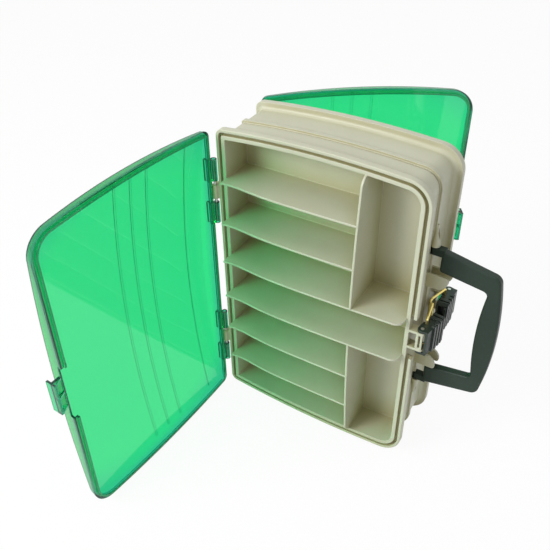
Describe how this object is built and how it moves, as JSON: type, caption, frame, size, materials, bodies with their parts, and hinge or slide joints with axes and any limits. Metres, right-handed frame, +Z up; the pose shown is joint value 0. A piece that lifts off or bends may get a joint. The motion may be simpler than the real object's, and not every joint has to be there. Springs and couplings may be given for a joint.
{
  "type": "two-sided tackle box",
  "caption": "Two-sided tackle box with divided trays back to back, clear domed hinged lids, wire bail latches and a swinging carry handle.",
  "frame": {"origin": "on the seam between the trays, at the lowest line of the bowed end that the case stands on, middle of its width", "axes": "+X towards the handle, +Y towards the rear lid, +Z up along the case's long side"},
  "size_m": [0.3166, 0.4427, 0.342],
  "materials": {
    "tray": "satin",
    "lid": "clear green",
    "handle": "matt",
    "lever": "satin",
    "bail": "drawn wire",
    "pin": "drawn"
  },
  "bodies": {
    "case": {"front_tray": "tray", "rear_tray": "tray", "front_upper_hinge_pin": "pin", "front_lower_hinge_pin": "pin", "rear_upper_hinge_pin": "pin", "rear_lower_hinge_pin": "pin", "front_latch_pin": "pin", "rear_latch_pin": "pin"},
    "front_lid": {"front_lid": "lid"},
    "rear_lid": {"rear_lid": "lid"},
    "handle": {"handle": "handle"},
    "front_latch_lever": {"front_latch_lever": "lever"},
    "rear_latch_lever": {"rear_latch_lever": "lever"},
    "front_bail": {"front_bail": "bail"},
    "rear_bail": {"rear_bail": "bail"}
  },
  "joints": [
    {"name": "front_lid_hinge", "type": "hinge", "parent": "case", "child": "front_lid", "pos_m": [-0.1121, -0.039, 0.171], "axis": [0, 0, -1], "range_deg": [-92.6, 77.4]},
    {"name": "rear_lid_hinge", "type": "hinge", "parent": "case", "child": "rear_lid", "pos_m": [-0.1121, 0.039, 0.171], "axis": [0, 0, -1], "range_deg": [-137, 33]},
    {"name": "handle_swing", "type": "hinge", "parent": "case", "child": "handle", "pos_m": [0.103, 0, 0.171], "axis": [0, 0, 1], "range_deg": [-50, 50]},
    {"name": "front_latch_pivot", "type": "hinge", "parent": "case", "child": "front_latch_lever", "pos_m": [0.113, -0.034, 0.171], "axis": [0, 0, -1], "range_deg": [-9, 81]},
    {"name": "rear_latch_pivot", "type": "hinge", "parent": "case", "child": "rear_latch_lever", "pos_m": [0.113, 0.034, 0.171], "axis": [0, 0, -1], "range_deg": [-90, 0]},
    {"name": "front_bail_pivot", "type": "hinge", "parent": "front_latch_lever", "child": "front_bail", "pos_m": [0.11342, -0.02495, 0.171], "axis": [0, 0, 1], "range_deg": [-200.21, 0]},
    {"name": "rear_bail_pivot", "type": "hinge", "parent": "rear_latch_lever", "child": "rear_bail", "pos_m": [0.112, 0.025, 0.171], "axis": [0, 0, 1], "range_deg": [0, 196.21]}
  ]
}
